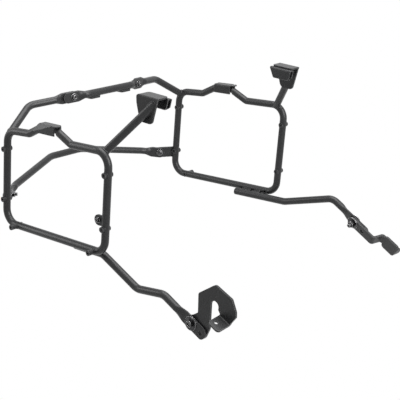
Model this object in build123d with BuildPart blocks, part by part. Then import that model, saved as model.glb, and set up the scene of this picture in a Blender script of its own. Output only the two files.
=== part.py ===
"""Tubular steel pannier frame: two side hoops, two bridges, struts, arms and their brackets."""

import os
from math import atan2, cos, radians, sin, tan

from build123d import *

os.makedirs("parts", exist_ok=True)

# Frame: X forward, Y to the left, Z up, in millimetres. The origin is midway between the two tail
# tab holes. Stations run forward from the hoops' rear lower corners, and heights run up from the
# axes of their bottom tubes.
hoop_back = -41.0
hoop_floor = -273.5

# Tube stock, and the crushed ends that bolt together
tube_d = 18.0
tube_wall = 2.0
tongue_width = 28.0
tongue_thick = 5.0
crush_length = 18.0
crush_slit = 0.8

# Hoops: one tube each, open at the hump on the top run
half_width = 305.3
toe_angle = 2.0
hoop_length = 347.2
rear_lean = 21.0
front_lean = 22.5
rear_height = 231.0
front_height = 236.0
hoop_bend = 33.0

# Hump on the hoops' top run, set out from their rear upper corners
hump_run = 81.0
hump_rise = 4.4
hump_length = 145.5
hump_drop = 2.0
hump_bend = 16.0
ramp_angle = 26.0
crest_rise = 31.1
gap_run = 42.5

# Latch plate that bridges the hump
latch_sheet = 3.0
latch_run = 48.0
latch_clear = 4.0
latch_nose = 9.0
latch_depth = 20.0
latch_corner = 4.0
latch_cut_clear = 5.0
nose_round = 6.0
nose_shift = 3.0

# Threaded bosses through the hoop tube
boss_d = 13.0
boss_bore = 5.0
boss_inner = 10.0
boss_outer = 14.0
boss_foot_outer = 24.0
boss_heights = (60.0, 186.0)
boss_foot_insets = (45.0, 29.5)

# Upper bridge across the tail, its tabs, and the stubs that carry it
bridge_half = 74.5
bridge_bend = 20.0
upper_reach = 40.0
upper_crush_gap = 9.0
upper_lap = 28.0
stub_elbow_x = 11.0
stub_elbow_inset = 80.3
stub_elbow_rise = 44.0
stub_bend = 38.0
stub_sink = 5.0
stub_lap = 12.5
stub_clear = 2.0
tab_offset = 54.0
tab_width = 32.0
tab_sheet = 5.0
tab_hole_d = 6.5
tab_reach = 15.0
tab_front = 7.0
tab_round = 4.0
tab_sink = 1.0

# Lower bridge and the lugs on the hoops' rear uprights
lug_sheet = 5.0
lug_height = 57.0
lug_angle = 53.0
lug_reach = 46.0
lug_set_back = 6.0
lug_width = 28.0
end_droop = 9.5
end_run = 50.0
end_crush_gap = 10.0
lower_elbow = (-113.4, 52.5, 94.7)
lower_bend = 60.0
end_bend = 40.0
bridge_lap = 14.0

# Struts and upper brackets
strut_foot_angle = 20.6
strut_foot_out = 3.0
strut_foot_inset = 9.0
strut_high = (431.0, 256.0, 330.0)
strut_overrun = 54.0
bracket_sheet = 4.0
bracket_corner = (393.5, 360.5)
bracket_tilt = 4.3
cheek_y = 256.0
cheek_outline = [((2.0, -20.0), 10.0), ((14.0, -60.0), 14.0), ((49.5, -60.0), 10.0)]
cheek_length = 63.5
cheek_round = 7.0
flange_edge = 222.0
flange_from = 7.0
flange_round = 6.0
fold_round = 3.5
sleeve_depth = 14.0
sleeve_height = 27.0
sleeve_sheet = 2.5
sleeve_round = 4.5
sleeve_lap = 6.0
sleeve_outline = [(4.0, 0.0), (17.5, -27.0), (56.5, -27.0), (63.5, -21.0), (68.0, 0.0)]

# Lower arms, beside and below the hoops' bottom tubes
arm_inset = 19.0
arm_drop = 12.0
arm_back = 117.2
arm_bend = 34.0
right_turn_back = 25.2
right_arm_bends = [(431.2, -67.4), (512.5, -59.0)]
right_arm_crush = (550.0, -79.0)
left_turn_ahead = 40.8
left_arm_bends = [(534.8, 23.4)]
left_arm_crush = (562.0, 6.0)
left_arm_twist = 24.0
left_arm_shift = 4.0
arm_crush_length = 28.0
arm_bolt_at = 50.0
arm_hole_gap = 31.0
arm_lap = 14.0
arm_tongue_width = 31.0
spacer_backs = (101.2, 61.2)
spacer_lengths = (26.0, 16.0)
spacer_thick = 8.0

# Hook bracket at the right arm's end
hook_sheet = 5.0
hook_slot = (647.5, 673.0, -35.8)
hook_slot_round = 12.0
hook_fold = ((672.5, -60.7), (701.5, -75.1))
hook_bump = (667.5, -53.0)
hook_bump_round = 2.0
hook_outline = [
    ((715.5, -58.5), 5.0),
    ((715.5, -46.0), 9.0),
    ((705.0, -20.5), 7.0),
    ((659.5, 0.5), 12.0),
    ((612.0, -30.0), 8.0),
    ((610.5, -74.5), 4.0),
    ((592.0, -86.0), 8.0),
    ((578.5, -111.5), 9.0),
    ((626.0, -138.0), 15.0),
    ((643.0, -104.0), 15.0),
]
hook_tab_turn = 79.0
hook_tab_length = 36.0
hook_tab_round = 8.0
hook_tab_hole_d = 8.5
hook_tab_hole = (0.35, 0.6)

# Foot bracket at the left arm's end
bar_sheet = 5.0
bar_width = 29.0
bar_run = 66.0
bar_joggle = 25.0
bar_joggle_lead = 9.0
bar_bend = 7.0
foot_length = 40.0
foot_width = 44.0
foot_drop = 2.5
foot_round = 8.0
foot_lead = 8.0
lip_length = 8.0
lip_width = 22.0
lip_rise = 4.0
lip_turn = 80.0

# Side tab on the right hoop's front upright
side_tab_sheet = 4.0
side_tab_reach = 22.9
side_tab_height = 76.0
side_tab_round = 12.5

# Fasteners: the heads' and nuts' sizes are shares of the bolt's diameter
bridge_bolt_d = 8.0
arm_bolt_d = 10.0
side_bolt_d = 6.0
hole_clearance = 0.4
washer_thick = 1.6
bridge_washer_d = 17.0
arm_washer_d = 25.0
side_washer_d = 12.0
bolt_stick_out = 6.0
head_ratio = 1.6
head_rise_ratio = 0.65
head_edge_ratio = 0.1
socket_ratio = 0.84
socket_sink_ratio = 0.45
nut_ratio = 1.86
nut_rise_ratio = 0.8

tube_r = tube_d / 2
bore_r = tube_r - tube_wall
bridge_hole_d = bridge_bolt_d + hole_clearance
arm_hole_d = arm_bolt_d + hole_clearance
side_hole_d = side_bolt_d + hole_clearance


def station(x, y, z):
    """A point given by its station, its distance from the middle plane and its height."""
    return Vector(hoop_back + x, y, hoop_floor + z)


def side_plane(side):
    """The plane of one hoop's axis, side +1 for the left: local x forward, local y up."""
    c = cos(radians(toe_angle))
    s = side * sin(radians(toe_angle))
    return Plane(origin=(hoop_back, side * half_width, hoop_floor), x_dir=(c, s, 0), z_dir=(s, -c, 0))


def bracket_view(y):
    """An upright plane at a distance y to the left, from a bracket's top rear corner and along its top."""
    x, z = bracket_corner
    tilt = radians(bracket_tilt)
    return Plane(origin=station(x, y, z), x_dir=(cos(tilt), 0, -sin(tilt)), z_dir=(0, -1, 0))


def bent_tube(points, bends, plane=Plane.XY, bored=True):
    """A round tube, or its filled form, along straight runs and tangent bends."""
    with BuildPart() as tube:
        with BuildLine(plane) as route:
            if bends:
                FilletPolyline(*points, radius=bends)
            else:
                Polyline(*points)
        with BuildSketch(Plane(origin=route.line @ 0, z_dir=route.line % 0)):
            Circle(tube_r)
            if bored:
                Circle(bore_r, mode=Mode.SUBTRACT)
        sweep()
    return tube.part


def crush_zone(start, radius, width, thick, length, shift):
    """The length over which a round section turns into a flat one, whose middle may be shifted."""
    corner = radius * cos(radians(45))
    flat = (width - thick) / 2
    low = shift - thick / 2
    high = shift + thick / 2
    with BuildPart() as zone:
        with BuildSketch(start):
            with BuildLine():
                ThreePointArc((corner, -corner), (radius, 0), (corner, corner))
                ThreePointArc((corner, corner), (0, radius), (-corner, corner))
                ThreePointArc((-corner, corner), (-radius, 0), (-corner, -corner))
                ThreePointArc((-corner, -corner), (0, -radius), (corner, -corner))
            make_face()
        with BuildSketch(start.offset(length)):
            with BuildLine():
                ThreePointArc((flat, low), (width / 2, shift), (flat, high))
                Line((flat, high), (-flat, high))
                ThreePointArc((-flat, high), (-width / 2, shift), (-flat, low))
                Line((-flat, low), (flat, low))
            make_face()
        loft()
    return zone.part


def crushed_end(start, bolt_at, lap, hole_d, crush=crush_length, width=tongue_width, more_holes=(), shift=0):
    """A crushed tube end from its start plane: local x runs across the tongue, local y through it."""
    length = bolt_at + lap
    middle = start.origin + start.y_dir * shift
    face = Plane(origin=middle, x_dir=start.z_dir, z_dir=start.y_dir)
    flat = Plane(origin=middle + start.z_dir * crush, x_dir=start.x_dir, z_dir=start.z_dir)
    outer = crush_zone(start, tube_r, width, tongue_thick, crush, shift)
    inner = crush_zone(start, bore_r, width - tongue_thick, crush_slit, crush, shift)
    with BuildPart() as end:
        add(outer)
        add(inner, mode=Mode.SUBTRACT)
        with BuildSketch(flat):
            SlotOverall(width, tongue_thick)
        extrude(amount=length - crush)
        with BuildSketch(face):
            with Locations((length - width / 2, 0)):
                Rectangle(width, 2 * width, align=(Align.MIN, Align.CENTER))
                Circle(width / 2, mode=Mode.SUBTRACT)
        extrude(amount=tongue_thick, both=True, mode=Mode.SUBTRACT)
        with BuildSketch(face):
            with Locations(*[(hole, 0) for hole in (bolt_at, *more_holes)]):
                Circle(hole_d / 2)
        extrude(amount=tongue_thick, both=True, mode=Mode.SUBTRACT)
    return end.part


def folded_tab(edge_mid, along, leave, settle, length, width, sheet, bend, corner):
    """A tab bent out of a plate's edge: it leaves the edge one way and settles into another."""
    with BuildPart() as tab:
        with BuildLine() as route:
            turn = edge_mid + leave * bend
            FilletPolyline(edge_mid, turn, turn + settle * length, radius=bend)
        with BuildSketch(Plane(origin=edge_mid, x_dir=along, z_dir=leave)):
            Rectangle(width, sheet)
        sweep()
        skin = Axis(edge_mid, settle.cross(along))
        tip_corners = tab.edges().filter_by(skin).sort_by(Axis(edge_mid, settle))[-2:]
        fillet(tip_corners, radius=corner)
    return tab.part


def save(name, builder):
    builder.part.label = name
    export_step(builder.part, f"parts/{name}.step")


def save_pair(name, left):
    """Writes a left piece and its mirror image on the right."""
    save(f"left_{name}", left)
    with BuildPart() as right:
        mirror(left.part, about=Plane.XZ)
    save(f"right_{name}", right)


def bend_centre(corner, before, after):
    """The centre of a hoop's bend at a corner between two others, in the hoop's plane."""
    back = (before - corner).normalized()
    ahead = (after - corner).normalized()
    half_corner = radians(back.get_angle(ahead)) / 2
    return corner + (back + ahead).normalized() * (hoop_bend / sin(half_corner))


def mirrored(point):
    return Vector(point.X, -point.Y, point.Z)


# Hoop tubes
hoop = side_plane(1)
hump_rear = (rear_lean + hump_run, rear_height + hump_rise)
hump_front = (hump_rear[0] + hump_length, hump_rear[1] - hump_drop)
crest_height = hump_rear[1] + crest_rise
gap_front = hump_front[0] - gap_run
ramp = tan(radians(ramp_angle))
ramp_overrun = (crest_height + tube_d - hump_rear[1]) / ramp
gap_trim = tube_d * sin(radians(ramp_angle))
gap_end = gap_front - gap_trim / 2
hoop_points = [
    (hump_rear[0] + ramp_overrun, crest_height + tube_d),
    hump_rear,
    (rear_lean, rear_height),
    (0, 0),
    (hoop_length, 0),
    (hoop_length + front_lean, front_height),
    hump_front,
    (gap_end, hump_front[1] + (hump_front[0] - gap_end) * ramp),
]
hoop_bends = [hump_bend] + [hoop_bend] * 4 + [hump_bend]
low, high = boss_heights
boss_places = [
    (rear_lean * low / rear_height, low),
    (rear_lean * high / rear_height, high),
    (hoop_length + front_lean * low / front_height, low),
    (hoop_length + front_lean * high / front_height, high),
    (boss_foot_insets[0], 0),
    (hoop_length - boss_foot_insets[1], 0),
]
crest_plane = Plane(origin=hoop.from_local_coords((0, crest_height, 0)), x_dir=hoop.x_dir, z_dir=(0, 0, 1))
hoop_core = bent_tube(hoop_points, hoop_bends, hoop, bored=False)
with BuildPart() as hoop_tube:
    add(bent_tube(hoop_points, hoop_bends, hoop))
    split(bisect_by=crest_plane, keep=Keep.BOTTOM)
    with BuildSketch(hoop):
        with Locations((gap_front, crest_height)):
            Rectangle(gap_trim, 2 * tube_d, align=(Align.MAX, Align.MAX))
    extrude(amount=tube_d, both=True, mode=Mode.SUBTRACT)
    with BuildSketch(hoop):
        with Locations(*boss_places):
            Circle(boss_d / 2)
    extrude(amount=tube_d, both=True, mode=Mode.SUBTRACT)
save_pair("hoop_tube", hoop_tube)

# Bosses, standing prouder on the pannier's side, and longest along the bottom
with BuildPart() as bosses:
    for places, outer in ((boss_places[:4], boss_outer), (boss_places[4:], boss_foot_outer)):
        with BuildSketch(hoop.offset(boss_inner)):
            with Locations(*places):
                Circle(boss_d / 2)
                Circle(boss_bore / 2, mode=Mode.SUBTRACT)
        extrude(amount=-(boss_inner + outer))
save_pair("bosses", bosses)

# Latch plate: a cap folded down over the two tube ends, with its front left open on the outer side
latch_from = hump_rear[0] + latch_run
latch_to = gap_front - latch_clear
latch_low = crest_height - latch_depth
latch_cut_from = latch_to - latch_cut_clear
latch_start = hoop.from_local_coords((latch_from, 0, 0))
latch_section = Plane(origin=latch_start, x_dir=-hoop.z_dir, z_dir=hoop.x_dir)
latch_half_width = tube_r + latch_sheet
latch_top = crest_height + latch_sheet
with BuildPart() as latch_plate:
    with BuildSketch(latch_section):
        with BuildLine():
            FilletPolyline(
                (-latch_half_width, latch_low),
                (-latch_half_width, latch_top),
                (latch_half_width, latch_top),
                (latch_half_width, latch_low),
                radius=latch_corner,
            )
            Polyline(
                (latch_half_width, latch_low),
                (tube_r, latch_low),
                (tube_r, crest_height),
                (-tube_r, crest_height),
                (-tube_r, latch_low),
                (-latch_half_width, latch_low),
            )
        make_face()
    extrude(amount=latch_to - latch_from)
    with BuildSketch(crest_plane):
        with Locations((latch_to, nose_shift)):
            Rectangle(latch_nose, 2 * tube_r, align=(Align.MIN, Align.CENTER))
        fillet(vertices().sort_by(Axis(crest_plane.origin, crest_plane.x_dir))[-2:], radius=nose_round)
    extrude(amount=latch_sheet)
    with BuildSketch(hoop.offset(-tube_r)):
        with BuildLine():
            Polyline(
                (latch_from, latch_low),
                (latch_from, crest_height),
                (latch_cut_from, crest_height),
                close=True,
            )
        make_face()
    extrude(amount=-2 * latch_sheet, mode=Mode.SUBTRACT)
save_pair("latch_plate", latch_plate)

# Upper bridge: the stubs' tongues lie behind the bridge's tongues
bridge_height = tube_r + tab_sheet - tab_sink
bridge_corner = Vector(tab_reach, bridge_half, bridge_height)
elbow = station(stub_elbow_x, half_width - stub_elbow_inset, rear_height + stub_elbow_rise)
tail_run = (bridge_corner - elbow).normalized()
tail_front = Vector(-tail_run.Y, tail_run.X, 0).normalized()
tail_up = tail_front.cross(tail_run)
upper_joint = bridge_corner - tail_run * upper_reach - tail_front * (tongue_thick / 2)
bridge_crush = Plane(
    origin=bridge_corner - tail_run * upper_crush_gap,
    x_dir=tail_up,
    z_dir=-tail_run,
)
upper_end = crushed_end(bridge_crush, upper_reach - upper_crush_gap, upper_lap, bridge_hole_d)
upper_corners = [
    bridge_crush.origin,
    bridge_corner,
    mirrored(bridge_corner),
    mirrored(bridge_crush.origin),
]
with BuildPart() as upper_bridge:
    add(bent_tube(upper_corners, [bridge_bend] * 2))
    add(upper_end)
    mirror(upper_end, about=Plane.XZ)
save("upper_bridge", upper_bridge)

# Tail tabs under the upper bridge, reaching back to their holes
upper_core = bent_tube(upper_corners, [bridge_bend] * 2, bored=False)
with BuildPart() as tail_tabs:
    with BuildSketch(Plane.XY):
        with Locations((0, tab_offset), (0, -tab_offset)):
            Rectangle(tab_reach + tab_front, tab_width, align=(Align.MIN, Align.CENTER))
        fillet(vertices().group_by(Axis.X)[-1], radius=tab_round)
        with Locations((0, tab_offset), (0, -tab_offset)):
            Circle(tab_width / 2)
            Circle(tab_hole_d / 2, mode=Mode.SUBTRACT)
    extrude(amount=tab_sheet)
    add(upper_core, mode=Mode.SUBTRACT)
save("tail_tabs", tail_tabs)

# Upper stubs, from the middle of the hoops' rear upper bends
rear_top = Vector(rear_lean, rear_height)
rear_bend = bend_centre(rear_top, Vector(*hump_rear), Vector(0, 0))
stub_foot = hoop.from_local_coords(rear_bend + (rear_top - rear_bend).normalized() * hoop_bend)
stub_corner = elbow - tail_front * tongue_thick
stub_bolt_at = upper_lap + crush_length + stub_clear
stub_crush = Plane(
    origin=upper_joint - tail_front * (tongue_thick / 2) - tail_run * stub_bolt_at,
    x_dir=tail_up,
    z_dir=tail_run,
)
stub_start = stub_foot + (stub_corner - stub_foot).normalized() * stub_sink
with BuildPart() as upper_stub:
    add(bent_tube([stub_start, stub_corner, stub_crush.origin], [stub_bend]))
    add(crushed_end(stub_crush, stub_bolt_at, stub_lap, bridge_hole_d))
    add(hoop_core, mode=Mode.SUBTRACT)
save_pair("upper_stub", upper_stub)

# Bridge lugs
upright = hoop.from_local_coords((rear_lean * lug_height / rear_height, lug_height, 0))
lug_out = Vector(-cos(radians(lug_angle)), -sin(radians(lug_angle)), 0)
lug_front = Vector(sin(radians(lug_angle)), -cos(radians(lug_angle)), 0)
lug_face = Plane(
    origin=upright - lug_front * (lug_set_back + lug_sheet / 2),
    x_dir=lug_out,
    z_dir=lug_front,
)
with BuildPart() as bridge_lug:
    with BuildSketch(lug_face):
        Rectangle(lug_reach, lug_width, align=(Align.MIN, Align.CENTER))
        with Locations((lug_reach, 0)):
            Circle(lug_width / 2)
            Circle(bridge_hole_d / 2, mode=Mode.SUBTRACT)
    extrude(amount=lug_sheet)
    add(hoop_core, mode=Mode.SUBTRACT)
save_pair("bridge_lug", bridge_lug)

# Lower bridge, with its tongues on the front of the lugs
lower_joint = upright + lug_out * lug_reach + lug_front * (lug_sheet / 2 - lug_set_back)
droop = radians(end_droop)
end_out = lug_out * -cos(droop) - Vector(0, 0, sin(droop))
tongue_mid = lower_joint + lug_front * (tongue_thick / 2)
end_corner = tongue_mid - end_out * end_run
lower_corner = station(*lower_elbow)
lower_crush = Plane(
    origin=end_corner + end_out * end_crush_gap,
    x_dir=end_out.cross(lug_front),
    z_dir=end_out,
)
lower_end = crushed_end(lower_crush, end_run - end_crush_gap, bridge_lap, bridge_hole_d)
lower_half = [lower_crush.origin, end_corner, lower_corner]
lower_corners = lower_half + [mirrored(point) for point in reversed(lower_half)]
with BuildPart() as lower_bridge:
    add(bent_tube(lower_corners, [end_bend, lower_bend, lower_bend, end_bend]))
    add(lower_end)
    mirror(lower_end, about=Plane.XZ)
save("lower_bridge", lower_bridge)

# Upper struts, coped to the hoops and cut flat against the brackets' cheeks
front_top = Vector(hoop_length + front_lean, front_height)
front_bend = bend_centre(front_top, Vector(*hump_front), Vector(hoop_length, 0))
foot_way = (front_top - front_bend).normalized().rotate(Axis.Z, strut_foot_angle)
foot_spot = front_bend + foot_way * (hoop_bend + strut_foot_out)
strut_foot = hoop.from_local_coords((foot_spot.X, foot_spot.Y, strut_foot_inset))
strut_head = station(*strut_high)
strut_over = (strut_head - strut_foot).normalized() * strut_overrun
cheek_plane = bracket_view(cheek_y)
with BuildPart() as upper_strut:
    add(bent_tube([strut_foot, strut_head + strut_over], []))
    split(bisect_by=cheek_plane, keep=Keep.BOTTOM)
    add(hoop_core, mode=Mode.SUBTRACT)
save_pair("upper_strut", upper_strut)

# Upper brackets: a cheek and a flange folded inward from its top
with BuildPart() as upper_bracket:
    with BuildSketch(cheek_plane):
        with BuildLine():
            FilletPolyline(
                (0, 0),
                *[corner for corner, _ in cheek_outline],
                (cheek_length, 0),
                radius=[cheek_round] + [bend for _, bend in cheek_outline] + [0],
                close=True,
            )
        make_face()
    extrude(amount=bracket_sheet)
    with BuildSketch(cheek_plane):
        with Locations((flange_from, 0)):
            Rectangle(cheek_length - flange_from, bracket_sheet, align=(Align.MIN, Align.MAX))
    extrude(amount=cheek_y - flange_edge)
    short_edges = upper_bracket.edges().filter_by(Axis((0, 0, 0), cheek_plane.y_dir))
    fillet(short_edges.group_by(Axis.Y)[0], radius=flange_round)
    long_edges = upper_bracket.edges().filter_by(Axis((0, 0, 0), cheek_plane.x_dir))
    outer_edges = long_edges.group_by(Axis.Y)[-1]
    fillet(outer_edges.sort_by(Axis.Z)[-1], radius=fold_round)
save_pair("upper_bracket", upper_bracket)

# Clamp sleeves: flattened tubes under the flanges' inner edges
sleeve_plane = bracket_view(flange_edge + sleeve_lap)
sleeve_end = Plane(
    origin=sleeve_plane.from_local_coords((0, -bracket_sheet - sleeve_height / 2, sleeve_depth / 2)),
    x_dir=sleeve_plane.y_dir,
    z_dir=sleeve_plane.x_dir,
)
with BuildPart() as clamp_sleeve:
    with BuildSketch(sleeve_end):
        RectangleRounded(sleeve_height, sleeve_depth, sleeve_round)
        RectangleRounded(
            sleeve_height - 2 * sleeve_sheet,
            sleeve_depth - 2 * sleeve_sheet,
            sleeve_round - sleeve_sheet,
            mode=Mode.SUBTRACT,
        )
    extrude(amount=sleeve_outline[-1][0])
    with BuildSketch(sleeve_plane):
        with BuildLine():
            Polyline(*[(x, y - bracket_sheet) for x, y in sleeve_outline], close=True)
        make_face()
    extrude(amount=sleeve_depth, mode=Mode.INTERSECT)
save_pair("clamp_sleeve", clamp_sleeve)


def arm_frame(side, last_bend, crush, twist):
    """The start plane of an arm's crushed end and the way its inner face looks."""
    plane = side_plane(side).offset(side * arm_inset)
    run_angle = atan2(crush[1] - last_bend[1], crush[0] - last_bend[0])
    run = plane.x_dir * cos(run_angle) + plane.y_dir * sin(run_angle)
    across = plane.y_dir * cos(run_angle) - plane.x_dir * sin(run_angle)
    inward = plane.z_dir * side
    turn = radians(twist)
    upward = across * cos(turn) + inward * sin(turn)
    inner = inward * cos(turn) - across * sin(turn)
    return plane, Plane(origin=plane.from_local_coords(crush), x_dir=upward, z_dir=run), inner


# Lower arms
arm_holes = (arm_bolt_at + arm_hole_gap,)
arm_tip = arm_hole_gap + arm_lap
arm_end = (arm_bolt_at, arm_tip, arm_hole_d, arm_crush_length, arm_tongue_width, arm_holes)
right_arm, right_crush, right_inner = arm_frame(-1, right_arm_bends[-1], right_arm_crush, 0)
left_arm, left_crush, left_inner = arm_frame(1, left_arm_bends[-1], left_arm_crush, left_arm_twist)
left_shift = left_arm_shift * left_inner.dot(left_crush.y_dir)
arm_start = (hoop_length - arm_back, -arm_drop)
right_turn = (hoop_length - right_turn_back, -arm_drop)
left_turn = (hoop_length + left_turn_ahead, -arm_drop)
right_route = [arm_start, right_turn, *right_arm_bends, right_arm_crush]
left_route = [arm_start, left_turn, *left_arm_bends, left_arm_crush]
with BuildPart() as right_lower_arm:
    add(bent_tube(right_route, [arm_bend] * (len(right_route) - 2), right_arm))
    add(crushed_end(right_crush, *arm_end))
save("right_lower_arm", right_lower_arm)
with BuildPart() as left_lower_arm:
    add(bent_tube(left_route, [arm_bend] * (len(left_route) - 2), left_arm))
    add(crushed_end(left_crush, *arm_end, shift=left_shift))
save("left_lower_arm", left_lower_arm)

# Spacers between the hoops' bottom tubes and the arms
arm_core = bent_tube([arm_start, left_turn], [], left_arm, bored=False)
spacer_line = hoop.z_dir * arm_inset - hoop.y_dir * arm_drop
spacer_plane = Plane(origin=hoop.origin, x_dir=hoop.x_dir, z_dir=spacer_line)
with BuildPart() as arm_spacers:
    with BuildSketch(spacer_plane):
        for back, length in zip(spacer_backs, spacer_lengths):
            with Locations((hoop_length - back, 0)):
                Rectangle(length, spacer_thick, align=(Align.MIN, Align.CENTER))
    extrude(amount=spacer_line.length)
    add(hoop_core, mode=Mode.SUBTRACT)
    add(arm_core, mode=Mode.SUBTRACT)
save_pair("arm_spacers", arm_spacers)

# Hook bracket on the inner side of the right arm's tongue
hook_face = right_arm.offset(-tongue_thick / 2)
slot_rear, slot_front, slot_top = hook_slot
hook_corners = [((slot_rear, slot_top), hook_slot_round), ((slot_front, slot_top), hook_slot_round)]
hook_corners += [(hook_bump, hook_bump_round), (hook_fold[0], 0), (hook_fold[1], 0)] + hook_outline
fold_from, fold_to = [hook_face.from_local_coords((x, y, -hook_sheet / 2)) for x, y in hook_fold]
fold_along = (fold_to - fold_from).normalized()
fold_leave = fold_along.cross(hook_face.z_dir)
hook_turn = radians(hook_tab_turn)
hook_settle = fold_leave * cos(hook_turn) + hook_face.z_dir * sin(hook_turn)
hook_tab = folded_tab(
    (fold_from + fold_to) / 2,
    fold_along,
    fold_leave,
    hook_settle,
    hook_tab_length,
    (fold_to - fold_from).length,
    hook_sheet,
    hook_sheet,
    hook_tab_round,
)
hook_hole_root = fold_from + (fold_to - fold_from) * hook_tab_hole[0] + fold_leave * hook_sheet
hook_hole_plane = Plane(
    origin=hook_hole_root + hook_settle * (hook_tab_length * hook_tab_hole[1]),
    x_dir=fold_along,
    z_dir=hook_settle.cross(fold_along),
)
hook_holes = []
for reach in (arm_bolt_at, *arm_holes):
    hook_holes.append(right_arm.to_local_coords(right_crush.origin + right_crush.z_dir * reach))
with BuildPart() as right_hook_bracket:
    with BuildSketch(hook_face):
        with BuildLine():
            FilletPolyline(
                *[corner for corner, _ in hook_corners],
                radius=[bend for _, bend in hook_corners],
                close=True,
            )
        make_face()
        with Locations(*[(hole.X, hole.Y) for hole in hook_holes]):
            Circle(arm_hole_d / 2, mode=Mode.SUBTRACT)
    extrude(amount=-hook_sheet)
    add(hook_tab)
    with BuildSketch(hook_hole_plane):
        Circle(hook_tab_hole_d / 2)
    extrude(amount=hook_sheet, both=True, mode=Mode.SUBTRACT)
save("right_hook_bracket", right_hook_bracket)

# Foot bracket on the inner side of the left arm's tongue
bar_mid = left_inner * (left_arm_shift + tongue_thick / 2 + bar_sheet / 2)
bar_bolt = left_crush.origin + left_crush.z_dir * arm_bolt_at + bar_mid
bar_along = left_crush.z_dir
bar_up = left_crush.x_dir
bar_face = Plane(origin=bar_bolt, x_dir=bar_along, z_dir=bar_along.cross(bar_up))
bar_turns = [
    bar_bolt - bar_along * (bar_width / 2),
    bar_bolt + bar_along * bar_run,
    bar_bolt + bar_along * (bar_run + bar_joggle_lead) - left_inner * bar_joggle,
    bar_bolt + bar_along * (bar_run + bar_joggle_lead + bar_joggle) - left_inner * bar_joggle,
]
foot_start = bar_turns[2] + bar_along * foot_lead - bar_up * foot_drop
foot_face = Plane(origin=foot_start, x_dir=bar_along, z_dir=bar_face.z_dir)
lip_angle = radians(lip_turn)
lip = folded_tab(
    foot_start + bar_along * foot_length + bar_up * lip_rise,
    bar_up,
    bar_along,
    bar_along * cos(lip_angle) - left_inner * sin(lip_angle),
    lip_length,
    lip_width,
    bar_sheet,
    bar_sheet,
    bar_sheet,
)
with BuildPart() as left_foot_bracket:
    with BuildLine() as bar_route:
        FilletPolyline(*bar_turns, radius=bar_bend)
    with BuildSketch(Plane(origin=bar_turns[0], x_dir=bar_up, z_dir=bar_along)):
        Rectangle(bar_width, bar_sheet)
    sweep()
    with BuildSketch(foot_face):
        Rectangle(foot_length, foot_width, align=(Align.MIN, Align.CENTER))
        fillet(vertices(), radius=foot_round)
    extrude(amount=bar_sheet / 2, both=True)
    add(lip)
    with BuildSketch(bar_face):
        Rectangle(bar_width / 2, bar_width, align=(Align.MAX, Align.CENTER))
        Circle(bar_width / 2, mode=Mode.SUBTRACT)
    extrude(amount=bar_sheet, both=True, mode=Mode.SUBTRACT)
    with BuildSketch(bar_face):
        with Locations((0, 0), (arm_hole_gap, 0)):
            Circle(arm_hole_d / 2)
    extrude(amount=bar_sheet, both=True, mode=Mode.SUBTRACT)
save("left_foot_bracket", left_foot_bracket)

# Side tab on the right hoop's front upright
right_hoop = side_plane(-1)
upright_x = hoop_length + front_lean * side_tab_height / front_height
side_tab_hole = (upright_x - side_tab_reach, side_tab_height)
with BuildPart() as right_side_tab:
    with BuildSketch(right_hoop):
        with Locations(side_tab_hole):
            Circle(side_tab_round)
            Rectangle(side_tab_reach, 2 * side_tab_round, align=(Align.MIN, Align.CENTER))
            Circle(side_hole_d / 2, mode=Mode.SUBTRACT)
    extrude(amount=side_tab_sheet / 2, both=True)
    add(mirror(hoop_core, about=Plane.XZ, mode=Mode.PRIVATE), mode=Mode.SUBTRACT)
save("right_side_tab", right_side_tab)


def bolt(seat, size, length):
    """A socket-head bolt whose head sits on the seat plane, with its shank below."""
    with BuildPart() as piece:
        with BuildSketch(seat):
            Circle(size * head_ratio / 2)
        extrude(amount=size * head_rise_ratio)
        rim = piece.edges().group_by(Axis(seat.origin, seat.z_dir))[-1]
        chamfer(rim, length=size * head_edge_ratio)
        with BuildSketch(seat.offset(size * head_rise_ratio)):
            RegularPolygon(size * socket_ratio / 2, 6)
        extrude(amount=-size * socket_sink_ratio, mode=Mode.SUBTRACT)
        with BuildSketch(seat):
            Circle(size / 2)
        extrude(amount=-length)
    return piece.part


def washer(seat, size, outer):
    with BuildPart() as piece:
        with BuildSketch(seat):
            Circle(outer / 2)
            Circle((size + hole_clearance) / 2, mode=Mode.SUBTRACT)
        extrude(amount=washer_thick)
    return piece.part


def nut(seat, size):
    with BuildPart() as piece:
        with BuildSketch(seat):
            RegularPolygon(size * nut_ratio / 2, 6)
            Circle(size / 2, mode=Mode.SUBTRACT)
        extrude(amount=size * nut_rise_ratio)
    return piece.part


def flipped(seat):
    return Plane(origin=seat.origin, x_dir=seat.x_dir, z_dir=-seat.z_dir)


def fastener_set(seats, size, outer):
    """Bolts, washers and nuts for seats on the heads' sides of the joints, each with its grip."""
    bolts = []
    washers = []
    nuts = []
    for seat, grip in seats:
        back = flipped(seat.offset(-grip))
        length = grip + 2 * washer_thick + size * nut_rise_ratio + bolt_stick_out
        bolts.append(bolt(seat.offset(washer_thick), size, length))
        washers += [washer(seat, size, outer), washer(back, size, outer)]
        nuts.append(nut(back.offset(washer_thick), size))
    return bolts, washers, nuts


def save_set(name, pieces):
    with BuildPart() as group:
        add(pieces)
    save(name, group)


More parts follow.
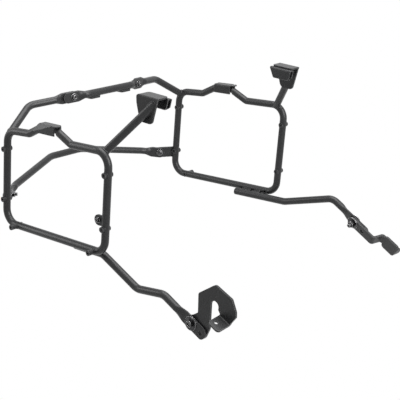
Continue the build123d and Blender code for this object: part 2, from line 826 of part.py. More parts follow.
# Bolts, washers and nuts of the two bridges
upper_seat = Plane(origin=upper_joint + tail_front * tongue_thick, x_dir=tail_up, z_dir=tail_front)
lower_seat = Plane(origin=lower_joint - lug_front * lug_sheet, x_dir=(0, 0, 1), z_dir=-lug_front)
bridge_seats = []
for seat, grip in ((upper_seat, 2 * tongue_thick), (lower_seat, tongue_thick + lug_sheet)):
    other = Plane(
        origin=mirrored(seat.origin),
        x_dir=mirrored(seat.x_dir),
        z_dir=mirrored(seat.z_dir),
    )
    bridge_seats += [(seat, grip), (other, grip)]
bridge_bolts, bridge_washers, bridge_nuts = fastener_set(bridge_seats, bridge_bolt_d, bridge_washer_d)
save_set("bridge_bolts", bridge_bolts)
save_set("bridge_washers", bridge_washers)
save_set("bridge_nuts", bridge_nuts)

# Bolts, washers and nuts of the arms' brackets, with the heads outside
arm_seats = []
for crush, inner, shift, sheet in (
    (right_crush, right_inner, 0, hook_sheet),
    (left_crush, left_inner, left_arm_shift, bar_sheet),
):
    middle = crush.origin + crush.z_dir * arm_bolt_at + inner * (shift - tongue_thick / 2)
    arm_seats.append((Plane(origin=middle, x_dir=crush.z_dir, z_dir=-inner), tongue_thick + sheet))
arm_bolts, arm_washers, arm_nuts = fastener_set(arm_seats, arm_bolt_d, arm_washer_d)
save_set("arm_bolts", arm_bolts)
save_set("arm_washers", arm_washers)
save_set("arm_nuts", arm_nuts)

# Bolt and nut of the side tab
side_seat = right_hoop.offset(side_tab_sheet / 2)
side_seat = Plane(origin=side_seat.from_local_coords(side_tab_hole), x_dir=(0, 0, 1), z_dir=side_seat.z_dir)
side_bolts, side_washers, side_nuts = fastener_set(
    [(side_seat, side_tab_sheet)], side_bolt_d, side_washer_d
)
save_set("side_tab_bolt", side_bolts)
save_set("side_tab_washers", side_washers)
save_set("side_tab_nut", side_nuts)
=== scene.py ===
# %% [markdown]
# # A pannier frame in dark powder coat
#
# The object is a pair of steel tube hoops that carry a motorbike's side panniers. Two bolted bridges join
# the hoops behind the tail, and struts and arms carry them forward to brackets on the bike. The solids
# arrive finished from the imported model, so this lesson dresses them: a camera, a plain studio, the coat and
# the plating, then the weld beads and bolt threads that solids leave out. Last come three kinds of piece
# that are drawn again with more shape: broad washers, a folded foot and leaning latch plates. Lengths are in
# metres, except inside the camera.

# %% load the frame
from math import cos, pi, radians, sin

import bmesh
import bpy
import numpy as np
from mathutils import Matrix, Vector
from mathutils.bvhtree import BVHTree


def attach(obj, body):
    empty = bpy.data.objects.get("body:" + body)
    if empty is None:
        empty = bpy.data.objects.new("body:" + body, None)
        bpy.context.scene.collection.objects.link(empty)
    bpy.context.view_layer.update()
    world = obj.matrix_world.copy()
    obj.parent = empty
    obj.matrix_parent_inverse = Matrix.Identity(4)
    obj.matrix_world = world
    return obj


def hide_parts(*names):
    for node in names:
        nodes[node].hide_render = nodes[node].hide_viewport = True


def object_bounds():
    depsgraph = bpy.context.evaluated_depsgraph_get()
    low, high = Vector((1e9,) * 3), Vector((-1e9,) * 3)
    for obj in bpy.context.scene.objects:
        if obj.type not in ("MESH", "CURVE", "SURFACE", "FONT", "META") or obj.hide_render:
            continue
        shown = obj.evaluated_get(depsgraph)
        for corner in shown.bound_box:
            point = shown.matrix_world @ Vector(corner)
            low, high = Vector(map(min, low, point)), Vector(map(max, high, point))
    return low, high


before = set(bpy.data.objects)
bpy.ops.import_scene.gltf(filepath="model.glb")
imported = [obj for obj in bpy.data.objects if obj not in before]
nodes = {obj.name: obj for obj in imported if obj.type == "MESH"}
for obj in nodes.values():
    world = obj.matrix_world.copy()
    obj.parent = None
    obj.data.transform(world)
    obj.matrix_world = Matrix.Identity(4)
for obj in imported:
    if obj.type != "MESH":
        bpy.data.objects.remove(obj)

BOTH_SIDES = ("left", "right")
cad_box = [list(corner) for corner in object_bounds()]
scene = bpy.context.scene
print("nodes:", len(nodes), "box:", [[round(v, 3) for v in corner] for corner in cad_box])

# %% [markdown]
# ## Camera
#
# The picture was taken with a long lens from the front right corner, a little above the frame. A long lens
# stands far off, so the near hoop is only slightly larger than the far one. The place and the angles below
# were worked out from straight tubes whose directions are known, so the camera is set from an eye point,
# two angles and a focal length, and needs no aiming by eye.

# %% camera
EYE = Vector((2.0404, -2.0175, 0.5788))
AZIMUTH = radians(40.54)
ELEVATION = radians(16.73)
# A camera's own lengths are in millimetres
SENSOR_WIDTH = 36.0
FOCAL_LENGTH = 103.34

look = Vector((-sin(AZIMUTH) * cos(ELEVATION), cos(AZIMUTH) * cos(ELEVATION), -sin(ELEVATION)))
lens = bpy.data.cameras.new("photo_lens")
lens.sensor_fit = "HORIZONTAL"
lens.sensor_width = SENSOR_WIDTH
lens.lens = FOCAL_LENGTH
camera = bpy.data.objects.new("photo_camera", lens)
camera.location = EYE
camera.rotation_euler = look.to_track_quat("-Z", "Y").to_euler()
scene.collection.objects.link(camera)
scene.camera = camera
print("camera at", [round(v, 2) for v in EYE], "looking", [round(v, 3) for v in look])

# %% [markdown]
# ## Writing shader maths as expressions
#
# A finish is a graph of nodes, and a long list of links is hard to read. The small class below wraps a
# node's output, so that `1 - mask` or `noise * 0.2` adds the right Math node by itself.

# %% shader maths
class Value:
    """An output socket that can be used in sums."""

    def __init__(self, finish, socket):
        self.finish = finish
        self.socket = socket

    def math(self, operation, a, b):
        return self.finish.node("ShaderNodeMath", {"operation": operation}, {0: a, 1: b})

    def __add__(self, other):
        return self.math("ADD", self, other)

    def __sub__(self, other):
        return self.math("SUBTRACT", self, other)

    def __mul__(self, other):
        return self.math("MULTIPLY", self, other)

    def __rsub__(self, other):
        return self.math("SUBTRACT", other, self)

    __radd__ = __add__


print("outputs can be added, subtracted and multiplied")

# %% [markdown]
# Every node comes from one method that takes the node's type, its settings, its inputs by name or number and
# the output that is wanted. The other methods are shorthand for the nodes that both finishes use.

# %% finishes
# How wide the lumps are in a noise of scale 1
NOISE_LUMP = 0.6
# The colour sockets of a Mix node share their names with others, so they go by number
MIX_LOW, MIX_HIGH, MIX_COLOUR = 6, 7, 2


class Finish:
    """A material under construction."""

    def __init__(self, name):
        self.material = bpy.data.materials.new(name)
        self.material.use_nodes = True
        self.tree = self.material.node_tree
        self.tree.nodes.clear()

    def node(self, kind, settings=None, inputs=None, output=0):
        made = self.tree.nodes.new(kind)
        for name, value in (settings or {}).items():
            if name == "stops":
                self.set_stops(made.color_ramp, value)
            else:
                setattr(made, name, value)
        for key, value in (inputs or {}).items():
            if isinstance(value, Value):
                self.tree.links.new(value.socket, made.inputs[key])
            else:
                made.inputs[key].default_value = value
        return Value(self, made.outputs[output]) if made.outputs else None

    def set_stops(self, ramp, stops):
        while len(ramp.elements) < len(stops):
            ramp.elements.new(1.0)
        for element, (place, grey) in zip(ramp.elements, stops):
            element.position = place
            element.color = (grey, grey, grey, 1.0)

    def noise(self, where, size, detail, rough=0.55):
        """Soft noise whose lumps are about size metres across."""
        inputs = {"Vector": where, "Scale": NOISE_LUMP / size, "Detail": detail, "Roughness": rough}
        return self.node("ShaderNodeTexNoise", {}, inputs)

    def ramp(self, value, stops):
        return self.node("ShaderNodeValToRGB", {"stops": stops}, {"Fac": value})

    def blend(self, factor, low, high):
        """A colour between low and high."""
        inputs = {0: factor, MIX_LOW: low, MIX_HIGH: high}
        return self.node("ShaderNodeMix", {"data_type": "RGBA"}, inputs, output=MIX_COLOUR)

    def done(self, surface):
        self.node("ShaderNodeOutputMaterial", {}, {"Surface": surface})
        return self.material


print("finishes can be built from expressions")

# %% [markdown]
# ## A plain studio
#
# The photograph has nothing behind the frame, only white. The floor lies well below and throws light back
# up. It and the world show as plain white, to the camera and in reflections. A dark tube is drawn by what it
# mirrors, so the lamps are placed by asking which way each bright line on a tube looks: most look straight
# up, some ahead of the bike, and a few back past the near hoop. A wide sheet overhead and one tall panel for
# each of the other two give those lines, and the sides that look elsewhere stay dark.

# %% floor and world
FLOOR_GAP = 0.35
FLOOR_SIZE = 30.0
WHITE = (1.0, 1.0, 1.0, 1.0)
PAPER_GREY = (0.86, 0.86, 0.86, 1.0)
COOL_WHITE = (0.93, 0.96, 1.0, 1.0)
AMBIENT = 0.05


class Sky(Finish):
    """The world's own node tree, built the same way as a finish."""

    def __init__(self, world):
        world.use_nodes = True
        self.tree = world.node_tree
        self.tree.nodes.clear()


def plain_to_camera(finish):
    """1 where a camera, glossy or transmission ray looks, else 0."""
    camera_ray = finish.node("ShaderNodeLightPath", output="Is Camera Ray")
    glossy_ray = finish.node("ShaderNodeLightPath", output="Is Glossy Ray")
    clear_ray = finish.node("ShaderNodeLightPath", output="Is Transmission Ray")
    return camera_ray + glossy_ray + clear_ray


paper = Finish("pale_floor")
lit = paper.node("ShaderNodeBsdfDiffuse", {}, {"Color": PAPER_GREY})
shown = paper.node("ShaderNodeEmission", {}, {"Color": WHITE, "Strength": 1.0})
paper_face = paper.node("ShaderNodeMixShader", {}, {0: plain_to_camera(paper), 1: lit, 2: shown})
sheet = bmesh.new()
bmesh.ops.create_grid(sheet, x_segments=1, y_segments=1, size=FLOOR_SIZE / 2)
bmesh.ops.translate(sheet, verts=sheet.verts, vec=(0, 0, cad_box[0][2] - FLOOR_GAP))
floor_mesh = bpy.data.meshes.new("studio_floor")
sheet.to_mesh(floor_mesh)
sheet.free()
floor_mesh.materials.append(paper.done(paper_face))
floor = bpy.data.objects.new("studio_floor", floor_mesh)
scene.collection.objects.link(floor)

world = bpy.data.worlds.new("studio_world")
sky = Sky(world)
soft = sky.node("ShaderNodeBackground", {}, {"Color": COOL_WHITE, "Strength": AMBIENT})
plain = sky.node("ShaderNodeBackground", {}, {"Color": WHITE, "Strength": 1.0})
air = sky.node("ShaderNodeMixShader", {}, {0: plain_to_camera(sky), 1: soft, 2: plain})
sky.node("ShaderNodeOutputWorld", {}, {"Surface": air})
scene.world = world
scene.view_settings.view_transform = "Standard"
print("floor", FLOOR_GAP, "below the frame, world ready")

# %% [markdown]
# The lamps are listed in one table and hung by one function, which turns each towards the frame's middle.

# %% lamps
MIDDLE = Vector((0.28, 0.0, -0.15))
# Name, place, width, height and power in watts
LAMPS = [
    ("overhead_sheet", (0.3, 0.0, 2.2), 2.4, 2.4, 104),
    ("rear_panel", (-1.7, -1.4, 0.7), 0.8, 1.8, 20),
    ("front_panel", (2.6, 0.0, 1.0), 1.5, 2.0, 88),
]


def hang(name, place, width, height, power):
    """A soft rectangular lamp at place that faces the frame."""
    lamp = bpy.data.lights.new(name, "AREA")
    lamp.shape = "RECTANGLE"
    lamp.size = width
    lamp.size_y = height
    lamp.energy = power
    holder = bpy.data.objects.new(name, lamp)
    holder.location = place
    holder.rotation_euler = (MIDDLE - Vector(place)).to_track_quat("-Z", "Y").to_euler()
    scene.collection.objects.link(holder)


for lamp_values in LAMPS:
    hang(*lamp_values)
print("lamps:", [name for name, *_ in LAMPS])

# %% [markdown]
# ## The powder coat
#
# All of the welded steel wears one dark grey powder coat. Such a coat is never quite even: it dries with a
# fine orange peel and its gloss drifts from place to place. Its sharp edges are a touch glossier and carry a
# painted highlight, a much paler grey that stands in for the bright lines of light along them. The peel is
# a bump from two sizes of noise, the drift is a slow noise in colour and roughness, and a Bevel node finds
# the edges, rounds their light as the real coat does, and marks where the painted highlight goes.

# %% powder coat
DEEP_GREY = (0.0100, 0.0102, 0.0108, 1.0)
PALE_GREY = (0.0240, 0.0245, 0.0254, 1.0)
# Painted highlight: the pale grey laid along the coat's sharp edges in place of the lines of light there
EDGE_HIGHLIGHT_GREY = (0.200, 0.202, 0.206, 1.0)
DRIFT_SIZE = 0.045
PEEL_SIZE = 0.0022
GRIT_SIZE = 0.0007
MAIN_SHARE = 0.7
FINE_SHARE = 0.3
SPECK_STOPS = [(0.35, 0.0), (0.68, 1.0)]
EDGE_STOPS = [(0.01, 0.0), (0.16, 1.0)]
BEVEL_SAMPLES = 6
COAT_EDGE = 0.0009
EDGE_HIGHLIGHT_SHARE = 0.8
COAT_ROUGHNESS = 0.25
DRIFT_ROUGHNESS = 0.10
GRIT_ROUGHNESS = 0.05
EDGE_POLISH = 0.05
PEEL_STRENGTH = 0.22
PEEL_HEIGHT = 0.0006
COAT_SPECULAR = 0.27


def edge_mask(finish, radius):
    """About 0 on open faces, rising to 1 along sharp edges, and the normal rounded over those edges."""
    rounded = finish.node("ShaderNodeBevel", {"samples": BEVEL_SAMPLES}, {"Radius": radius})
    straight = finish.node("ShaderNodeNewGeometry", output="Normal")
    settings = {"operation": "DOT_PRODUCT"}
    same = finish.node("ShaderNodeVectorMath", settings, {0: rounded, 1: straight}, output="Value")
    return finish.ramp(1.0 - same, EDGE_STOPS), rounded


def powder_coat():
    coat = Finish("dark_powder_coat")
    where = coat.node("ShaderNodeTexCoord", output="Object")
    drift = coat.noise(where, DRIFT_SIZE, detail=4.0)
    peel = coat.noise(where, PEEL_SIZE, detail=2.0)
    grit = coat.noise(where, GRIT_SIZE, detail=2.0, rough=0.7)
    edges, rounded = edge_mask(coat, COAT_EDGE)
    speck = coat.ramp(grit, SPECK_STOPS)
    body = coat.blend(drift * MAIN_SHARE + speck * FINE_SHARE, DEEP_GREY, PALE_GREY)
    # Painted highlight: the sharp edges are blended towards a much paler grey
    colour = coat.blend(edges * EDGE_HIGHLIGHT_SHARE, body, EDGE_HIGHLIGHT_GREY)
    gloss = COAT_ROUGHNESS + drift * DRIFT_ROUGHNESS + grit * GRIT_ROUGHNESS - edges * EDGE_POLISH
    height = peel * MAIN_SHARE + grit * FINE_SHARE
    bump = coat.node(
        "ShaderNodeBump",
        {},
        {"Strength": PEEL_STRENGTH, "Distance": PEEL_HEIGHT, "Height": height, "Normal": rounded},
    )
    face = coat.node(
        "ShaderNodeBsdfPrincipled",
        {},
        {"Base Color": colour, "Roughness": gloss, "Normal": bump, "Specular IOR Level": COAT_SPECULAR},
    )
    return coat.done(face)


coated = powder_coat()
print("made", coated.name)

# %% [markdown]
# ## The plated fasteners
#
# Bolts, washers and nuts are dark plated steel, smoother and more metallic than the coat, so they glint
# where a lamp is reflected. Plating is blotchy at a scale of a few millimetres and rubbed pale on the
# corners of the hexagons, where a spanner has gripped them.

# %% plating
DARK_ZINC = (0.018, 0.018, 0.019, 1.0)
GREY_ZINC = (0.090, 0.090, 0.092, 1.0)
RUBBED_ZINC = (0.90, 0.90, 0.91, 1.0)
BLOTCH_SIZE = 0.004
GRAIN_SIZE = 0.0005
BLOTCH_STOPS = [(0.35, 0.0), (0.7, 1.0)]
PLATING_EDGE = 0.0008
RUBBED_SHARE = 0.85
PLATING_ROUGHNESS = 0.16
BLOTCH_ROUGHNESS = 0.14
GRAIN_ROUGHNESS = 0.08
GRAIN_STRENGTH = 0.15
GRAIN_HEIGHT = 0.0003
PLATING_METALLIC = 0.9
FASTENER_WORDS = ("bolt", "bolts", "washers", "nut", "nuts")


def plating():
    zinc = Finish("dark_plating")
    where = zinc.node("ShaderNodeTexCoord", output="Object")
    blotch = zinc.noise(where, BLOTCH_SIZE, detail=4.0)
    grain = zinc.noise(where, GRAIN_SIZE, detail=2.0)
    edges, rounded = edge_mask(zinc, PLATING_EDGE)
    body = zinc.blend(zinc.ramp(blotch, BLOTCH_STOPS), DARK_ZINC, GREY_ZINC)
    colour = zinc.blend(edges * RUBBED_SHARE, body, RUBBED_ZINC)
    gloss = PLATING_ROUGHNESS + blotch * BLOTCH_ROUGHNESS + grain * GRAIN_ROUGHNESS
    bump = zinc.node(
        "ShaderNodeBump",
        {},
        {"Strength": GRAIN_STRENGTH, "Distance": GRAIN_HEIGHT, "Height": grain, "Normal": rounded},
    )
    face = zinc.node(
        "ShaderNodeBsdfPrincipled",
        {},
        {"Base Color": colour, "Metallic": PLATING_METALLIC, "Roughness": gloss, "Normal": bump},
    )
    return zinc.done(face)


plated = plating()
fasteners = [name for name in nodes if name.split("_")[-1] in FASTENER_WORDS]
for name, node in nodes.items():
    node.data.materials.clear()
    node.data.materials.append(plated if name in fasteners else coated)
print("coated:", len(nodes) - len(fasteners), "plated:", len(fasteners))

# %% [markdown]
# ## Finding the seams
#
# A welder runs a bead along the line where one piece meets another. The solids already meet face to face,
# so that line can be found instead of drawn: every face of a piece that lies on its neighbour belongs to a
# contact patch, and the patch's rim is the seam. The first helpers join a node's triangles into one mesh and
# sort faces into patches. They keep the mesh's own order, so that every run finds the same lines.

# %% patches of faces
SNAP = 0.00002


def merged(name):
    """A copy of a node's mesh with its loose triangles joined."""
    mesh = bmesh.new()
    mesh.from_mesh(nodes[name].data)
    mesh.transform(nodes[name].matrix_world)
    bmesh.ops.remove_doubles(mesh, verts=mesh.verts, dist=SNAP)
    return mesh


def take_first(ordered):
    """Removes and returns the first key, where a set would give any."""
    first = next(iter(ordered))
    del ordered[first]
    return first


def corners_of(group):
    """The vertices of a group of faces, each once and in order."""
    return list(dict.fromkeys(vert for face in group for vert in face.verts))


def islands(faces):
    """Groups of faces that share edges, in the mesh's own order."""
    left = dict.fromkeys(faces)
    groups = []
    while left:
        queue = [take_first(left)]
        group = []
        while queue:
            face = queue.pop()
            group.append(face)
            for other in (other for edge in face.edges for other in edge.link_faces):
                if other in left:
                    del left[other]
                    queue.append(other)
        groups.append(group)
    return groups


print("faces can be sorted into patches")

# %% [markdown]
# A sawn tube end has two rims, one outside and one in its bore, and only the longer one can be reached with
# a torch. Where a boss goes through a tube it is the other way about, and the rim that lies farther out is
# taken.

# %% seam finder
TOUCH = 0.0004
SHORTEST = 0.015


def rims(group):
    """The closed rims of a group of faces, as lists of points."""
    inside = set(group)
    rim_edges = dict.fromkeys(
        e for f in group for e in f.edges if len(inside.intersection(e.link_faces)) == 1
    )
    loops = []
    while rim_edges:
        first, spot = take_first(rim_edges).verts
        points = [first.co.copy()]
        while spot is not first:
            points.append(spot.co.copy())
            onward = [e for e in spot.link_edges if e in rim_edges]
            if not onward:
                break
            del rim_edges[onward[0]]
            spot = onward[0].other_vert(spot)
        if spot is first:
            loops.append(points)
    return loops


def way_round(points):
    return sum((b - a).length for a, b in zip(points, points[1:] + points[:1]))


def middle_of(points):
    return sum(points, Vector()) / len(points)


def seams(piece, base, pick=way_round):
    """One rim of every patch where a piece lies on its base: the longest, or the best by another measure."""
    mesh = merged(piece)
    ground = merged(base)
    tree = BVHTree.FromBMesh(ground)

    def near(point):
        return tree.find_nearest(point, TOUCH)[0] is not None

    touching = [f for f in mesh.faces if near(f.calc_center_median()) and all(near(v.co) for v in f.verts)]
    loops = [max(rims(group), key=pick, default=[]) for group in islands(touching)]
    mesh.free()
    ground.free()
    return [loop for loop in loops if loop and way_round(loop) > SHORTEST]


def outward(loop):
    """How far a rim lies outside the middle of its hoop's tube."""
    middle = middle_of(loop)
    return abs(middle.y) - HOOP_MIDDLE - TOE * middle.x


def far_out(loop):
    return abs(outward(loop))


hoop_points = np.array([v.co for v in nodes["left_hoop_tube"].data.vertices])
TOE, HOOP_MIDDLE = np.polyfit(hoop_points[:, 0], hoop_points[:, 1], 1)
print("hoops stand", round(HOOP_MIDDLE, 4), "out and toe out by", round(TOE, 4))

# %% [markdown]
# ## Laying the beads
#
# A bead is a small round section carried along its seam in short steps. It swells and drops back once for
# every dip of the filler rod, which leaves the row of overlapping scales that a hand weld shows. The ring
# is extruded step by step: each step turns and scales the last ring into the next one's place, and the last
# ring closes on the first.

# %% bead maker
BEAD_STEP = 0.00055
SCALE_STEPS = 4
RIPPLE = 0.16
WAVER = 0.06
WAVER_RATE = 0.37
RING_SIDES = 8
EASE_PASSES = 3


def even(points):
    """The same closed line in equal steps, with its corners eased."""
    total = way_round(points)
    count = SCALE_STEPS * round(total / BEAD_STEP / SCALE_STEPS)
    eased = []
    reached = 0.0
    for a, b in zip(points, points[1:] + points[:1]):
        span = (b - a).length
        while len(eased) < count and len(eased) * total / count <= reached + span:
            eased.append(a.lerp(b, (len(eased) * total / count - reached) / span))
        reached += span
    for _ in range(EASE_PASSES):
        eased = [(eased[i - 1] + eased[i] * 2 + eased[(i + 1) % len(eased)]) / 4 for i in range(len(eased))]
    return eased


def ring_places(points, radius):
    """The place, turn and size of the bead's section at each step."""
    middle = middle_of(points)
    places = []
    for i, point in enumerate(points):
        along = (points[(i + 1) % len(points)] - points[i - 1]).normalized()
        out = point - middle
        out = (out - along * out.dot(along)).normalized()
        turn = Matrix((out, along.cross(out), along)).transposed().to_4x4()
        swell = 1 - RIPPLE / 2 + RIPPLE * (i % SCALE_STEPS) / SCALE_STEPS
        size = radius * (swell + WAVER * sin(WAVER_RATE * i))
        places.append(Matrix.Translation(point) @ turn @ Matrix.Scale(size, 4))
    return places


def bead(loop, radius):
    """A rippled bead round one closed seam."""
    mesh = bmesh.new()
    places = ring_places(even(loop), radius)
    ring = bmesh.ops.create_circle(mesh, segments=RING_SIDES, radius=1.0, matrix=places[0])["verts"]
    edges = list(dict.fromkeys(edge for vert in ring for edge in vert.link_edges))
    for here, there in zip(places, places[1:] + places[:1]):
        grown = bmesh.ops.extrude_edge_only(mesh, edges=edges)["geom"]
        edges = [part for part in grown if isinstance(part, bmesh.types.BMEdge)]
        verts = [part for part in grown if isinstance(part, bmesh.types.BMVert)]
        bmesh.ops.transform(mesh, matrix=there @ here.inverted(), verts=verts)
    bmesh.ops.remove_doubles(mesh, verts=mesh.verts, dist=SNAP)
    bmesh.ops.recalc_face_normals(mesh, faces=mesh.faces)
    return mesh


print("a bead takes", SCALE_STEPS, "steps to a scale")

# %% [markdown]
# Every new piece is joined from its meshes, takes one finish and rides on the frame's only body.

# %% pieces on the frame
def put(name, meshes, finish):
    """Joins some meshes into one smooth piece that rides on the frame."""
    whole = bmesh.new()
    for mesh in meshes:
        part = bpy.data.meshes.new("part")
        mesh.to_mesh(part)
        mesh.free()
        whole.from_mesh(part)
        bpy.data.meshes.remove(part)
    data = bpy.data.meshes.new(name)
    whole.to_mesh(data)
    whole.free()
    data.shade_smooth()
    data.materials.append(finish)
    piece = bpy.data.objects.new(name, data)
    scene.collection.objects.link(piece)
    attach(piece, "root")
    return piece


print("new pieces ride on root")

# %% [markdown]
# The joints are listed by piece and base. Most come once on each side, the tail tabs and the side tab only
# once. The bosses are welded from the outer side alone, so their inner rims are left out.

# %% beads
BOSS_BEAD = 0.0013
# Piece, base and the bead's radius
SIDE_JOINTS = [
    ("upper_strut", "hoop_tube", 0.0024),
    ("upper_strut", "upper_bracket", 0.0016),
    ("upper_stub", "hoop_tube", 0.0024),
    ("bridge_lug", "hoop_tube", 0.0019),
    ("arm_spacers", "hoop_tube", 0.0016),
    ("arm_spacers", "lower_arm", 0.0016),
]
SINGLE_JOINTS = [
    ("tail_tabs", "upper_bridge", 0.0019),
    ("right_side_tab", "right_hoop_tube", 0.0017),
]

joints = [
    (f"{side}_{piece}", f"{side}_{base}", radius)
    for side in BOTH_SIDES
    for piece, base, radius in SIDE_JOINTS
]
for piece, base, radius in joints + SINGLE_JOINTS:
    found = seams(piece, base)
    put(f"{piece}_weld_on_{base}", [bead(loop, radius) for loop in found], coated)
    print(piece, "on", base, "seams:", [round(way_round(loop), 3) for loop in found])
for side in BOTH_SIDES:
    found = [loop for loop in seams(f"{side}_hoop_tube", f"{side}_bosses", far_out) if outward(loop) > 0]
    put(f"{side}_boss_welds", [bead(loop, BOSS_BEAD) for loop in found], coated)
    print(side, "boss seams:", len(found))

# %% [markdown]
# ## Bolt threads
#
# The solids' bolts are plain rods. Where a rod comes out of its nut, a thread is added: a small ridge is
# spun about the bolt's axis and moved along it a little at every step, so that it climbs as a helix. The
# axis is the direction in which a bolt is longest, set true by its flat faces, and the thinner end is the
# threaded one.

# %% threads
THREAD_LENGTH = 0.0048
TURN_STEPS = 24
PITCH_SHARE = 0.3
RIDGE = 0.06
# The ridge's section: shares of the rod's radius and of one pitch
RIDGE_SECTION = [(1.0, 0.05), (1.0 + RIDGE, 0.5), (1.0, 0.95)]
# A face lies square to the axis above this cosine, and a point lies on the end within this depth
FLAT_COSINE = 0.98
END_DEPTH = 0.0002


def axis_and_tip(group):
    """A bolt's axis towards its threaded end, the middle of that end and the rod's radius."""
    verts = corners_of(group)
    spots = np.array([vert.co for vert in verts])
    rough = Vector(np.linalg.svd(spots - spots.mean(axis=0))[2][0])
    flats = [face for face in group if abs(face.normal.dot(rough)) > FLAT_COSINE]
    axis = sum((f.normal * f.calc_area() * (1 if f.normal.dot(rough) > 0 else -1) for f in flats), Vector())
    axis.normalize()

    def end(direction):
        reach = max(v.co.dot(direction) for v in verts)
        rim = [v.co for v in verts if v.co.dot(direction) > reach - END_DEPTH]
        middle = middle_of(rim)
        return middle, max((spot - middle).length for spot in rim)

    ends = [(direction, *end(direction)) for direction in (axis, -axis)]
    return min(ends, key=lambda found: found[2])


def thread(axis, tip, radius):
    """A helical ridge on the last stretch of a rod."""
    pitch = radius * PITCH_SHARE
    turns = THREAD_LENGTH / pitch
    steps = round(turns * TURN_STEPS)
    across = axis.orthogonal().normalized()
    start = tip - axis * (THREAD_LENGTH + pitch)
    section = [(radius * out, up) for out, up in RIDGE_SECTION]
    mesh = bmesh.new()
    verts = [mesh.verts.new(start + across * out + axis * pitch * up) for out, up in section]
    edges = [mesh.edges.new(pair) for pair in zip(verts, verts[1:])]
    bmesh.ops.spin(
        mesh,
        geom=verts + edges,
        cent=start,
        axis=axis,
        dvec=axis * THREAD_LENGTH / steps,
        angle=2 * pi * turns,
        steps=steps,
    )
    bmesh.ops.recalc_face_normals(mesh, faces=mesh.faces)
    return mesh


for name in ("bridge_bolts", "arm_bolts", "side_tab_bolt"):
    rods = merged(name)
    ends = [axis_and_tip(group) for group in islands(rods.faces)]
    rods.free()
    put(f"{name}_threads", [thread(*end) for end in ends], plated)
    print(name, "radii:", [round(radius, 4) for _, _, radius in ends])

# %% [markdown]
# ## Broad washers on the arms
#
# The washers under the two arm bolts are broad and thick, with a rounded rim that has lost its plating and
# shines. The solids have plain smaller discs, so these are replaced. Each disc tells its own axis, place
# and thickness, and the new washer is a small section with an eased rim, spun once about that axis.

# %% arm washers
WASHER_RADIUS = 0.0165
RIM_EASE = 0.0007
WASHER_STEPS = 64
WASHER_SHARP = radians(30)


def washer(group):
    """A broad washer in the place of a plain disc."""
    verts = [vert.co for vert in corners_of(group)]
    flat = max(group, key=lambda face: face.calc_area())
    axis = flat.normal.copy()
    heights = [spot.dot(axis) for spot in verts]
    low, high = min(heights), max(heights)
    half = (high - low) / 2
    middle = middle_of(verts)
    middle += axis * ((low + high) / 2 - middle.dot(axis))
    bore = min((spot - middle - axis * (spot - middle).dot(axis)).length for spot in verts)
    across = axis.orthogonal().normalized()
    section = [
        (bore, -half),
        (WASHER_RADIUS - RIM_EASE, -half),
        (WASHER_RADIUS, -half + RIM_EASE),
        (WASHER_RADIUS, half - RIM_EASE),
        (WASHER_RADIUS - RIM_EASE, half),
        (bore, half),
    ]
    mesh = bmesh.new()
    spots = [mesh.verts.new(middle + across * out + axis * up) for out, up in section]
    edges = [mesh.edges.new(pair) for pair in zip(spots, spots[1:] + spots[:1])]
    bmesh.ops.spin(
        mesh, geom=spots + edges, cent=middle, axis=axis, angle=2 * pi, steps=WASHER_STEPS, use_merge=True
    )
    bmesh.ops.recalc_face_normals(mesh, faces=mesh.faces)
    return mesh


discs = merged("arm_washers")
broad = put("broad_arm_washers", [washer(group) for group in islands(discs.faces)], plated)
discs.free()
broad.data.set_sharp_from_angle(angle=WASHER_SHARP)
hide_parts("arm_washers")
print("broad washers:", len(broad.data.polygons), "faces")

# %% [markdown]
# ## The foot's folded end
#
# The left bracket ends in a foot whose last edge is folded outward into a short tapering lip, along a line
# that leans forward. The solid has a narrower lip and rounded corners there. Its copy is cut off square
# just before the fold, and a new end is drawn in rows. Each row is a loop of four edges across the sheet,
# from a bottom point to a top point.

# %% foot rows
FOOT_START = Vector((0.63502, 0.32554, -0.33561))
FOOT_ALONG = Vector((0.8419, 0.0294, -0.5389)).normalized()
FOOT_UP = Vector((0.5062, -0.3893, 0.7696)).normalized()
FOOT_OUT = Vector((0.1872, 0.9206, 0.3426)).normalized()
FOOT_SHEET = 0.005
FOOT_CUT = 0.031
FOOT_SHARP = radians(25)
# Rows of the flat part, bottom and top, as steps along the foot and up it from the middle of its start
FLAT_ROWS = [
    ((0.0315, -0.022), (0.0315, 0.022)),
    ((0.0330, -0.022), (0.0370, 0.022)),
    ((0.0338, -0.022), (0.0405, 0.021)),
    ((0.0345, -0.022), (0.0425, 0.0185)),
]
# Rows of the lip: its turn, its reach from the row before, and bottom and top as shares of the fold
LIP_ROWS = [
    (radians(32.5), 0.0025, (0.02, 0.98)),
    (radians(65), 0.009, (0.38, 0.80)),
]


def cut_off(mesh, place, direction):
    """Removes what lies beyond a plane, and returns the open edges that the cut leaves."""
    everything = mesh.verts[:] + mesh.edges[:] + mesh.faces[:]
    bmesh.ops.bisect_plane(mesh, geom=everything, plane_co=place, plane_no=direction, clear_outer=True)
    return [edge for edge in mesh.edges if edge.is_boundary]


def in_foot(along, up):
    return FOOT_START + FOOT_ALONG * along + FOOT_UP * up


def foot_row(mesh, low, high, normal):
    """A closed loop of four edges across the sheet, from its bottom point to its top point."""
    half = normal * FOOT_SHEET / 2
    verts = [mesh.verts.new(spot) for spot in (low - half, high - half, high + half, low + half)]
    return [mesh.edges.new(pair) for pair in zip(verts, verts[1:] + verts[:1])]


print("foot rows:", len(FLAT_ROWS), "flat and", len(LIP_ROWS), "on the lip")

# %% [markdown]
# The cut is the first row. The flat part's rows follow, then the lip's, which turn outward about the fold.
# Neighbouring rows are bridged, and the last one is filled.

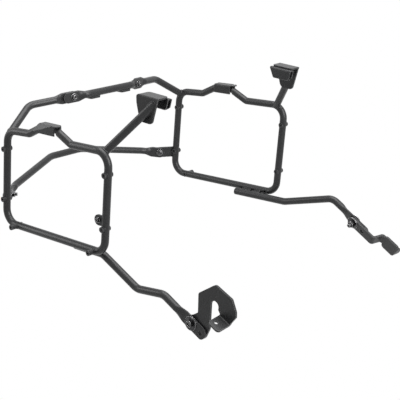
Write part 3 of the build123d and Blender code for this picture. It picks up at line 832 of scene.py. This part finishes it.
# %% foot end
foot = merged("left_foot_bracket")
rows = [cut_off(foot, in_foot(FOOT_CUT, 0), FOOT_ALONG)]
for low, high in FLAT_ROWS:
    rows.append(foot_row(foot, in_foot(*low), in_foot(*high), FOOT_OUT))
fold_low, fold_high = [in_foot(*point) for point in FLAT_ROWS[-1]]
fold = fold_high - fold_low
ahead = fold.cross(FOOT_OUT).normalized()
if ahead.dot(FOOT_ALONG) < 0:
    ahead = -ahead
shift = Vector()
for turn, reach, shares in LIP_ROWS:
    shift += (ahead * cos(turn) + FOOT_OUT * sin(turn)) * reach
    normal = FOOT_OUT * cos(turn) - ahead * sin(turn)
    low, high = [fold_low + fold * share + shift for share in shares]
    rows.append(foot_row(foot, low, high, normal))
for here, there in zip(rows, rows[1:]):
    bmesh.ops.bridge_loops(foot, edges=here + there)
bmesh.ops.edgeloop_fill(foot, edges=rows[-1])
bmesh.ops.recalc_face_normals(foot, faces=foot.faces)
print("foot end rows:", len(rows), "open edges left:", sum(edge.is_boundary for edge in foot.edges))
folded_foot = put("left_foot_bracket_folded", [foot], coated)
folded_foot.data.set_sharp_from_angle(angle=FOOT_SHARP)
folded_foot.modifiers.new("flat_faces", "WEIGHTED_NORMAL").keep_sharp = True
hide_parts("left_foot_bracket")

# %% [markdown]
# ## Leaning latch plates
#
# On the outer side of each hump the latch plate leans over: it is folded along a line that climbs from a
# point on the tube's flank to the plate's front corner. Its flat parts are drawn as outlines, extruded to
# the sheet's thickness and eased along their edges. Places are steps along the hoop, out from it and up from
# its lower corner.

# %% latch outlines
HOOP_CORNER = Vector((-0.041, 0.3053, -0.2735))
HOOP_AHEAD = Vector((0.9994, 0.0349, 0.0)).normalized()
HOOP_OUT = Vector((-0.0349, 0.9994, 0.0)).normalized()
WEB_SEAT = 0.0093
WEB_FACE = 0.0125
LEAF_SHEET = 0.002
LEAF_COVER = 0.0004
SHEET_EASE = 0.0003
SHARP_CORNER = radians(40)
# The web's corners along the hoop and up
WEB_CORNERS = [
    (0.126, 0.2485),
    (0.150, 0.2462),
    (0.2013, 0.2462),
    (0.2013, 0.269),
    (0.1945, 0.269),
    (0.150, 0.254),
]
# Three places on the fold, then the tops of the leaf and the flap: along the hoop, out and up
FOLD_POINT = (0.126, WEB_FACE, 0.2485)
FOLD_REAR = (0.150, WEB_FACE, 0.254)
FOLD_FRONT = (0.1975, WEB_FACE, 0.2701)
TOP_REAR = (0.150, 0.0075, 0.2701)
FLAP_TOP = (0.144, 0.0082, 0.2665)


def on_hoop(along, out, up):
    return HOOP_CORNER + HOOP_AHEAD * along + HOOP_OUT * out + Vector((0, 0, up))


def sheet_from(outlines, thickness):
    """A sheet from the outlines of its flat parts, thickened and eased."""
    mesh = bmesh.new()
    for outline in outlines:
        mesh.faces.new([mesh.verts.new(corner) for corner in outline])
    bmesh.ops.remove_doubles(mesh, verts=mesh.verts, dist=SNAP)
    grown = bmesh.ops.extrude_face_region(mesh, geom=mesh.faces[:])["geom"]
    lifted = [part for part in grown if isinstance(part, bmesh.types.BMVert)]
    bmesh.ops.translate(mesh, verts=lifted, vec=thickness)
    bmesh.ops.recalc_face_normals(mesh, faces=mesh.faces)
    corners = [edge for edge in mesh.edges if edge.calc_face_angle(0.0) > SHARP_CORNER]
    bmesh.ops.bevel(
        mesh, geom=corners, offset=SHEET_EASE, segments=2, profile=0.5, affect="EDGES", material=-1
    )
    return mesh


print("web corners:", len(WEB_CORNERS))

# %% [markdown]
# The solid is a square cap, so its copy loses the corner above the fold. A leaf closes the cut and ends
# behind in a flap, and a web below the fold runs back to the point. The right plate is the left one
# mirrored.

# %% latch plates
def latch_parts():
    """The cut cap, its leaf and its web, for the left side."""
    fold_rear, fold_front, top_rear = [on_hoop(*place) for place in (FOLD_REAR, FOLD_FRONT, TOP_REAR)]
    lean = (fold_front - fold_rear).cross(top_rear - fold_rear).normalized()
    if lean.z < 0:
        lean = -lean
    cap = merged("left_latch_plate")
    bmesh.ops.holes_fill(cap, edges=cut_off(cap, fold_rear - lean * LEAF_COVER, lean), sides=0)
    flap = [on_hoop(*FOLD_POINT), fold_rear, top_rear, on_hoop(*FLAP_TOP)]
    leaf = sheet_from([[fold_rear, fold_front, top_rear], flap], -lean * LEAF_SHEET)
    web_corners = [on_hoop(along, WEB_SEAT, up) for along, up in WEB_CORNERS]
    web = sheet_from([web_corners], HOOP_OUT * (WEB_FACE - WEB_SEAT))
    return [cap, leaf, web]


for side in BOTH_SIDES:
    parts = latch_parts()
    for mesh in parts:
        if side == "right":
            bmesh.ops.scale(mesh, vec=(1, -1, 1), verts=mesh.verts)
        bmesh.ops.recalc_face_normals(mesh, faces=mesh.faces)
    print(side, "open edges:", [sum(edge.is_boundary for edge in mesh.edges) for mesh in parts])
    plate = put(f"{side}_latch_plate_leaning", parts, coated)
    plate.data.shade_flat()
    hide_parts(f"{side}_latch_plate")
